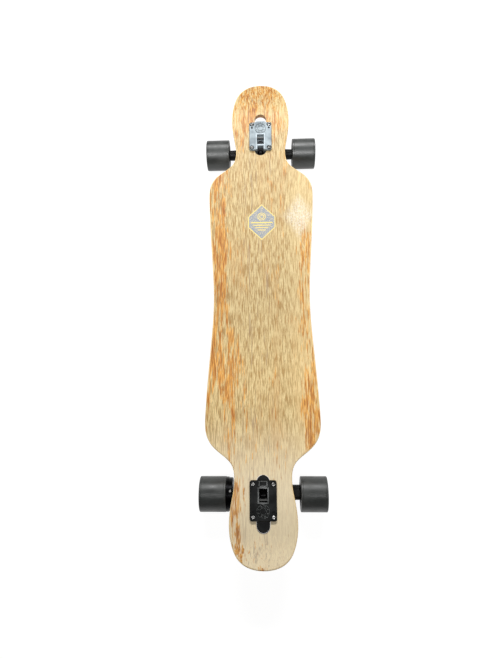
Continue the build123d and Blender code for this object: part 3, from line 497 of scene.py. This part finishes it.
# Deck: each point carries its depth below the top veneer, which the wood finish reads
def shape_deck():
    node = frame["nodes"]["deck"]
    tree = BVHTree.FromObject(node, bpy.context.evaluated_depsgraph_get())
    flat = deck_top * mm
    middle_y = deck_middle_y * mm

    def top_at(x, y):
        hit = tree.ray_cast(Vector((x, y, 0.3)), Vector((0, 0, -1)))[0]
        return hit.z if hit else None

    def between(row, reach):
        low = int(reach)
        return row[low] + (row[low + 1] - row[low]) * (reach - low)

    # the rails' rise across the board, clear of the slots, then the two ends' rise beside the slots
    rails = [top_at(x * mm, middle_y + 0.25) - flat for x in range(118)]
    ends = {}
    for way in (1, -1):
        ends[way] = [top_at(16.5 * mm, middle_y + way * y * mm) for y in range(int(kick_start), 550)]
        last = [h for h in ends[way] if h is not None][-1]
        ends[way] = [last if h is None else h for h in ends[way]]
    mesh = node.data.copy()
    depth = mesh.attributes.new("depth", "FLOAT", "POINT")
    for vertex, value in zip(mesh.vertices, depth.data):
        x, y, z = vertex.co
        away = abs(y - middle_y) / mm
        if away < kick_start:
            top = flat + between(rails, min(abs(x) / mm, len(rails) - 2))
        else:
            row = ends[1 if y > middle_y else -1]
            top = between(row, min(away - kick_start, len(row) - 2))
        value.value = max(0.0, top - z)
    mesh.shade_smooth()
    mesh.set_sharp_from_angle(angle=radians(28))
    add_piece("deck_board", mesh, "maple", "deck", "deck")


# Badge: a plain six-sided print on the veneer, with a ring and a few bars
def shape_badge():
    place = Matrix.Translation((1.5 * mm, 191 * mm, deck_top * mm))
    field_height, line_height = 0.06, 0.1

    def hexagon(width, height):
        shoulder = height * 0.3
        corners = ((0, height), (width, shoulder), (width, -shoulder),
                   (0, -height), (-width, -shoulder), (-width, shoulder))
        return [Vector(p) for p in corners]

    def circle(radius, rise, count=36):
        turns = [2 * pi * k / count for k in range(count)]
        return [Vector((radius * cos(t), radius * sin(t) + rise)) for t in turns]

    def band(bm, outer, inner):
        for k in range(len(outer)):
            j = (k + 1) % len(outer)
            prism_into(bm, [outer[k], outer[j], inner[j], inner[k]], place, 0.0, line_height)

    field = bmesh.new()
    prism_into(field, hexagon(32, 46), place, 0.0, field_height)
    add_made("badge_field", field, "badge_blue", "deck")
    lines = bmesh.new()
    band(lines, hexagon(31.5, 45.2), hexagon(29.7, 42.6))
    for radius in (9.5, 5.5):
        band(lines, circle(radius, 14), circle(radius - 1.4, 14))
    for half, y, thick in ((25.0, -1.5, 2.6), (21.0, -8.0, 1.8), (15.0, -14.0, 1.8), (9.0, -20.0, 1.8)):
        prism_into(lines, box_outline(-half, y - thick / 2, half, y + thick / 2), place, 0.0, line_height)
    add_made("badge_lines", lines, "badge_yellow", "deck")


# Baseplate relief: raised rings, ribs, the window's frame and a bright keeper over the kingpin
def raise_boxes(bm, boxes, place, height, radius, bevel):
    """Raise rounded rectangles from just inside the flange to a height above it."""
    for x0, y0, x1, y1 in boxes:
        low, high = flange_top - 0.5, flange_top + height
        prism_into(bm, box_outline(x0, y0, x1, y1, radius), place, low, high, bevel)


def plate_rings(end, place):
    """Two rings with short spokes between them, and a few ticks ahead of them on the front plate."""
    bm = bmesh.new()
    centre = place @ Matrix.Translation((0, relief_ahead * mm, 0))
    spot = centre @ Vector((0, 0, flange_top * mm))
    for radius, thick in ((13.6, 1.5), (7.2, 1.3)):
        inner = radius - thick
        ring = [(-0.5, inner, 0), (0.7, inner, 0.5), (0.7, radius, 0.5), (-0.5, radius, 0)]
        spin_into(bm, rounded(ring, 3), spot, upright, 64)
    for k in range(8):
        turn = centre @ Matrix.Rotation(pi * k / 4 + 0.39, 4, "Z")
        raise_boxes(bm, [(8.4, -1.1, 11.0, 1.1)], turn, 0.6, 0.5, 0.3)
    if end == "front":
        for k in range(5):
            turn = centre @ Matrix.Rotation(radians(50 + 20 * k), 4, "Z")
            raise_boxes(bm, [(15.0, -0.8, 17.2, 0.8)], turn, 0.5, 0.4, 0.25)
    return bm


def plate_ribs(end, place):
    """The frame round the window, with ribs by the front notch or a boss behind the rear window."""
    bm = bmesh.new()
    inner, outer = 8.6, 11.2
    window = [(-outer, -26.0, -inner, 6.2), (inner, -26.0, outer, 6.2),
              (-inner, 3.2, inner, 6.0), (-inner, -26.4, inner, -23.4)]
    raise_boxes(bm, window, place, 0.7, 0.8, 0.4)
    if end == "front":
        raise_boxes(bm, [(-10.6, -37.0, -8.0, -26.0), (8.0, -37.0, 10.6, -26.0)], place, 0.9, 0.8, 0.4)
    else:
        boss = [(-9.0, -38.4, -6.8, -27.4), (6.8, -38.4, 9.0, -27.4),
                (-6.8, -38.4, 6.8, -36.6), (-6.8, -28.8, 6.8, -27.2)]
        raise_boxes(bm, boss, place, 1.2, 0.5, 0.4)
    return bm


def shape_slot_end(place):
    """A dark fill of painted shade in the inboard end of the front slot, with a low stud."""
    shade_fill = bmesh.new()
    fill_radius, fill_centre = 13.7, -36.1
    bow = [Vector((fill_radius * cos(radians(a)), fill_centre + fill_radius * sin(radians(a))))
           for a in range(-180, 1, 12)]
    prism_into(shade_fill, bow, place, -6.5, -3.0)
    prism_into(shade_fill, box_outline(-7.3, -38.0, 7.3, -28.1), place, -6.6, -3.2)
    # painted shade: a dark fill where the slot's end only lies in shadow
    add_made("slot_shade_fill", shade_fill, "cap_rubber", "deck")
    dome = rounded([(-0.2, 0, 0), (-0.2, 8.0, 0), (0.8, 8.0, 0.5), (2.6, 3.5, 3), (2.9, 0, 0)], 5)
    stud = place @ Vector((0, -42 * mm, -3 * mm))
    add_piece("slot_stud", lathe("slot_stud", dome, stud, upright, 48), "black_aluminium", "deck")


def shape_relief():
    # the relief takes lighter copies of the castings as painted highlight, and the front rings a darker copy as
    # painted shade
    edge_finishes = {"front": "highlit_grey", "rear": "highlit_black"}
    ring_finishes = {"front": "shaded_grey", "rear": "highlit_black"}
    keeper_spots = {"front": -4.6, "rear": -1.4}
    for end, place in truck_places.items():
        add_made(end + "_plate_ribs", plate_ribs(end, place), edge_finishes[end], "deck")
        add_made(end + "_plate_rings", plate_rings(end, place), ring_finishes[end], "deck")
        keeper = bmesh.new()
        tilt = place @ Matrix.Translation((0, keeper_spots[end] * mm, 4.2 * mm))
        tilt = tilt @ Matrix.Rotation(radians(-20), 4, "X")
        prism_into(keeper, box_outline(-8.3, -1.7, 8.3, 1.7, 0.6), tilt, -2.0, 0.4, 0.3)
        add_made(end + "_kingpin_keeper", keeper, "bright_steel", "deck")
        if end == "front":
            shape_slot_end(place)


# Truck bolts: button heads, with painted shade as a dark disc in each socket, a dark ring round each head and a
# dark plug in each spare hole
def shape_bolts():
    bolts = bmesh.new()
    shade_discs = bmesh.new()
    bolt = rounded([(-23.5, 0, 0), (-23.5, 2.3, 0.4), (0, 2.3, 0), (0, 4.1, 0.4), (1.0, 4.1, 0.8),
                    (2.7, 3.1, 0.5), (2.7, 2.5, 0.2), (0.9, 2.3, 0), (0.9, 0, 0)], 4)
    # painted shade: the seat ring, the socket disc and the plug are dark discs where the recesses only lie in
    # shadow
    seat = rounded([(0.02, 4.2, 0), (0.3, 4.3, 0.1), (0.3, 5.5, 0.1), (0.02, 5.55, 0)], 2)
    socket = rounded([(0.92, 0, 0), (0.92, 1.8, 0), (1.1, 1.8, 0), (1.1, 0, 0)])
    hole_shade = rounded([(-3.9, 0, 0), (-3.9, 2.6, 0), (-1.0, 2.6, 0), (-1.0, 0, 0)])
    for place in truck_places.values():
        for x in (-bolt_across, bolt_across):
            for y in (-bolt_along, bolt_along):
                spot = place @ Vector((x * mm, y * mm, bolt_seat * mm))
                spin_into(bolts, bolt, spot, upright, 36)
                spin_into(shade_discs, seat, spot, upright, 36)
                spin_into(shade_discs, socket, spot, upright, 24)
            spare = place @ Vector((x * mm, spare_hole_along * mm, bolt_seat * mm))
            spin_into(shade_discs, hole_shade, spare, upright, 32)
    add_made("truck_bolts_turned", bolts, "bright_steel", "deck", "truck_bolts")
    add_made("bolt_shade_discs", shade_discs, "gasket_foam", "deck")


# Wheels
def tread_outline(edge, inner):
    """Section of a tread above its core: soft shoulders and a fine moulding groove near each edge."""
    h, r = wheel_half, wheel_radius
    groove = h - 4.6
    half = [(-h, inner, 1.2), (-h, 30.2, 0.3), (-h + 0.5, 30.6, 0.3), (-h, 31.0, 0.3), (-h, r, edge),
            (-groove - 0.4, r, 0), (-groove, r - 0.3, 0), (-groove + 0.4, r, 0)]
    return rounded(half + [(-u, v, c) for u, v, c in reversed(half)], 6)


def shape_wheel(name):
    """A free wheel's tread, and the spokes and bearing lips on both faces of its core."""
    centre, side = joint_place(name + "_spin")
    section = tread_outline(5.5, 25.2)
    section += rounded([(core_half, core_radius, 0), (-core_half, core_radius, 0)])
    mesh = lathe(name + "_tread", section, centre, (side, 0, 0), 112)
    add_piece(name + "_tread", mesh, "wheel_urethane", name + "_wheel", name + "_tyre")
    spokes = bmesh.new()
    lip = rounded([(12.9, 11.05, 0), (13.8, 11.1, 0.3), (13.8, 12.2, 0.3), (12.9, 12.3, 0)], 2)
    for way in (-1, 1):
        face = Matrix.Translation(centre) @ Matrix.Rotation(pi / 2 * way, 4, "Y")
        for k in range(12):
            turn = face @ Matrix.Rotation(pi * k / 6, 4, "Z")
            prism_into(spokes, box_outline(11.9, -0.9, 17.6, 0.9, 0.5), turn, 12.8, 13.9, 0.4)
        spin_into(spokes, lip, centre, (way, 0, 0), 64)
    add_made(name + "_spokes", spokes, "core_plastic", name + "_wheel")


def shape_motor():
    """The motor's tread, and its outer end cap with a circle of screws."""
    centre, side = joint_place("motor_spin")
    outward = (side, 0, 0)
    tread = lathe("motor_tread", tread_outline(3.0, motor_can_radius), centre, outward, 112)
    add_piece("motor_tread", tread, "wheel_urethane", "motor_rotor", "motor_tyre")
    cap = bmesh.new()
    face = [(24.6, 0, 0), (25.4, 3.0, 0), (25.4, 9.0, 0.4), (24.9, 9.6, 0.2), (24.9, 12.0, 0.2),
            (25.6, 12.6, 0.4), (25.6, 27.6, 0.8), (24.5, 28.2, 0)]
    spin_into(cap, rounded(face, 3), centre, outward, 96)
    add_made("motor_end_cap", cap, "black_aluminium", "motor_rotor")
    screws = bmesh.new()
    head = rounded([(-0.2, 0, 0), (-0.2, 2.6, 0), (0.8, 2.6, 0.5), (0.8, 1.4, 0.1),
                    (0.1, 1.2, 0), (0.1, 0, 0)], 2)
    for k in range(6):
        angle = pi * k / 3
        spot = centre + Vector((side * 25.6, 20.0 * cos(angle), 20.0 * sin(angle))) * mm
        spin_into(screws, head, spot, outward, 28)
    add_made("motor_cap_screws", screws, "bright_steel", "motor_rotor")


def shape_wheels():
    for name in ("front_left", "front_right", "rear_right"):
        shape_wheel(name)
    shape_motor()


# Axle nuts: chamfered hexagons with a nylon collar
def nut_into(bm, centre, side, steps=36):
    """One nut round a wheel's axle, outside its bearing."""
    corner = nut_flat / cos(pi / 6)
    turns = [2 * pi * k / steps for k in range(steps)]

    def ring(u, radii):
        return [bm.verts.new(centre + Vector((side * u, r * cos(t), r * sin(t))) * mm)
                for t, r in zip(turns, radii)]

    def join(first, second):
        for i in range(steps):
            bm.faces.new((first[i], first[i - 1], second[i - 1], second[i]))

    flats = [nut_flat / cos((t + pi / 6) % (pi / 3) - pi / 6) for t in turns]
    near, far = 13.1, 19.3
    levels = ((near, 0.9), (13.8, 1.0), (18.6, 1.0), (far, 0.9))
    outside = [ring(u, [min(flat, corner * scale) for flat in flats]) for u, scale in levels]
    for first, second in zip(outside, outside[1:]):
        join(first, second)
    bore = [4.02] * steps
    for outer, u in ((outside[0], near), (outside[-1], far)):
        join(outer, ring(u, bore))


def shape_nuts():
    collar = rounded([(19.2, 4.05, 0), (19.2, 5.7, 0), (20.9, 5.6, 0.6), (20.9, 4.2, 0.4)], 3)
    axles = {"front": ("front_left_spin", "front_right_spin"), "rear": ("rear_right_spin",)}
    for end, names in axles.items():
        nuts, collars = bmesh.new(), bmesh.new()
        for name in names:
            centre, side = joint_place(name)
            nut_into(nuts, centre, side)
            spin_into(collars, collar, centre, (side, 0, 0), 48)
        hanger = end + "_hanger"
        mesh = made_mesh(nuts, end + "_lock_nuts", 25)
        add_piece(end + "_lock_nuts", mesh, "bright_steel", hanger, end + "_axle_nuts")
        add_made(end + "_nut_collars", collars, "cap_rubber", hanger)


# Bushings: barrel and cone on each kingpin, between the deck and the hanger
def shape_bushings():
    barrel = [(-17.9, 4.9, 0.4), (-17.9, 11.6, 0.8), (-15.6, 12.0, 1.5), (-11, 11.3, 3), (-6.4, 12.0, 1.5),
              (-4.1, 11.6, 0.8), (-4.1, 4.9, 0.4)]
    cone = [(4.1, 4.9, 0.4), (4.1, 11.9, 0.8), (6.5, 12.0, 1.0), (16.0, 9.3, 1.0), (16.9, 8.4, 0.6),
            (16.9, 4.9, 0.4)]
    for end, place in truck_places.items():
        origin = place @ (Vector((0, ring_ahead, -ring_drop)) * mm)
        along = place.to_3x3() @ Vector((0, sin(kingpin_tilt), -cos(kingpin_tilt)))
        for name, section in (("barrel", barrel), ("cone", cone)):
            mesh = lathe(end + "_" + name, rounded(section, 4), origin, along, 64)
            piece = add_piece(end + "_" + name, mesh, "bushing_urethane", None)
            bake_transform(piece)
            if name == "barrel":
                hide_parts(end + "_bushings")


# Power button spring: a small coil
def shape_spring():
    bm = bmesh.new()
    seat = Vector((62.0, -150.0, 67.0)) * mm
    length, turns, coil_radius, wire_radius = 5.5, 4, 4.1, 0.45
    steps, sides = 24, 8
    inward = Vector((1, 0, 0))
    rings = []
    for k in range(turns * steps + 1):
        angle = 2 * pi * k / steps
        t = k / (turns * steps)
        out = Vector((0, cos(angle), sin(angle)))
        middle = seat + (out * coil_radius + inward * (0.5 + (length - 1.0) * t)) * mm
        ring = []
        for j in range(sides):
            way = out * cos(2 * pi * j / sides) + inward * sin(2 * pi * j / sides)
            ring.append(bm.verts.new(middle + way * wire_radius * mm))
        rings.append(ring)
    for first, second in zip(rings, rings[1:]):
        for j in range(sides):
            bm.faces.new((first[j], first[j - 1], second[j - 1], second[j]))
    bm.faces.new(rings[0])
    bm.faces.new(rings[-1])
    piece = add_made("button_coil", bm, "bright_steel", "deck", "button_spring")
    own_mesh(piece)


# Hangers: the CAD castings with their corners melted together as sand casting leaves them
def shape_hangers():
    for hanger in ("front_hanger", "rear_hanger"):
        node = frame["nodes"][hanger]
        soft = bpy.data.objects.new(hanger + "_cast", node.data.copy())
        bpy.context.scene.collection.objects.link(soft)
        soft.matrix_world = node.matrix_world
        skin = soft.modifiers.new("skin", "REMESH")
        skin.mode = "VOXEL"
        skin.voxel_size = 1.3 * mm
        soften = soft.modifiers.new("soften", "SMOOTH")
        soften.factor = 0.5
        soften.iterations = 5
        bpy.context.view_layer.update()
        melted = soft.evaluated_get(bpy.context.evaluated_depsgraph_get())
        mesh = bpy.data.meshes.new_from_object(melted)
        bpy.data.objects.remove(soft)
        mesh.shade_smooth()
        add_piece(hanger + "_cast", mesh, "black_casting", hanger, hanger)


shape_deck()
shape_badge()
shape_relief()
shape_bolts()
shape_wheels()
shape_nuts()
shape_bushings()
shape_spring()
shape_hangers()


# Stage, light and camera
def stage():
    """A pale floor that glows a little, so that it shows no hard shadows."""
    floor = bpy.data.meshes.new("floor")
    bm = bmesh.new()
    bmesh.ops.create_grid(bm, x_segments=2, y_segments=2, size=12.0)
    bm.to_mesh(floor)
    bm.free()
    piece = bpy.data.objects.new("floor", floor)
    bpy.context.scene.collection.objects.link(piece)
    f = Finish("light_table")
    paper = f.mix(f.noise(3, 2), (0.12, 0.12, 0.12), (0.14, 0.14, 0.14))
    floor.materials.append(f.done(paper, 0.9, Emission_Color=(1.0, 1.0, 1.0), Emission_Strength=0.95))


def lamp(name, place, target, size, power, spread=180):
    """A soft rectangular lamp aimed at a point, its light held within a spread in degrees."""
    light = bpy.data.lights.new(name, "AREA")
    light.shape = "RECTANGLE"
    light.size, light.size_y = size
    light.energy = power
    light.spread = radians(spread)
    piece = bpy.data.objects.new(name, light)
    piece.location = place
    piece.rotation_euler = (Vector(target) - Vector(place)).to_track_quat("-Z", "Y").to_euler()
    bpy.context.scene.collection.objects.link(piece)


def light():
    world = bpy.data.worlds.new("studio")
    world.use_nodes = True
    world.node_tree.nodes["Background"].inputs["Color"].default_value = (1, 1, 1, 1)
    world.node_tree.nodes["Background"].inputs["Strength"].default_value = 0.2
    bpy.context.scene.world = world
    # the key comes from beyond the nose; the other gives the front treads their highlights
    lamp("key", (0.1, 2.6, 2.5), (0, 0, 0), (1.8, 0.6), 104)
    lamp("overhead", (-0.1, -0.55, 2.5), (0, 0.46, 0), (1.0, 0.3), 4.2, 46)
    bpy.context.scene.view_settings.view_transform = "Standard"


def camera_over_tail():
    camera = bpy.data.cameras.new("camera")
    camera.lens = 27.48
    camera.sensor_width = 36.0
    piece = bpy.data.objects.new("camera", camera)
    piece.location = (0.0096, -0.3371, 1.1694)
    piece.rotation_euler = (radians(14.19), radians(2.27), radians(-0.02))
    bpy.context.scene.collection.objects.link(piece)
    bpy.context.scene.camera = piece


stage()
light()
camera_over_tail()
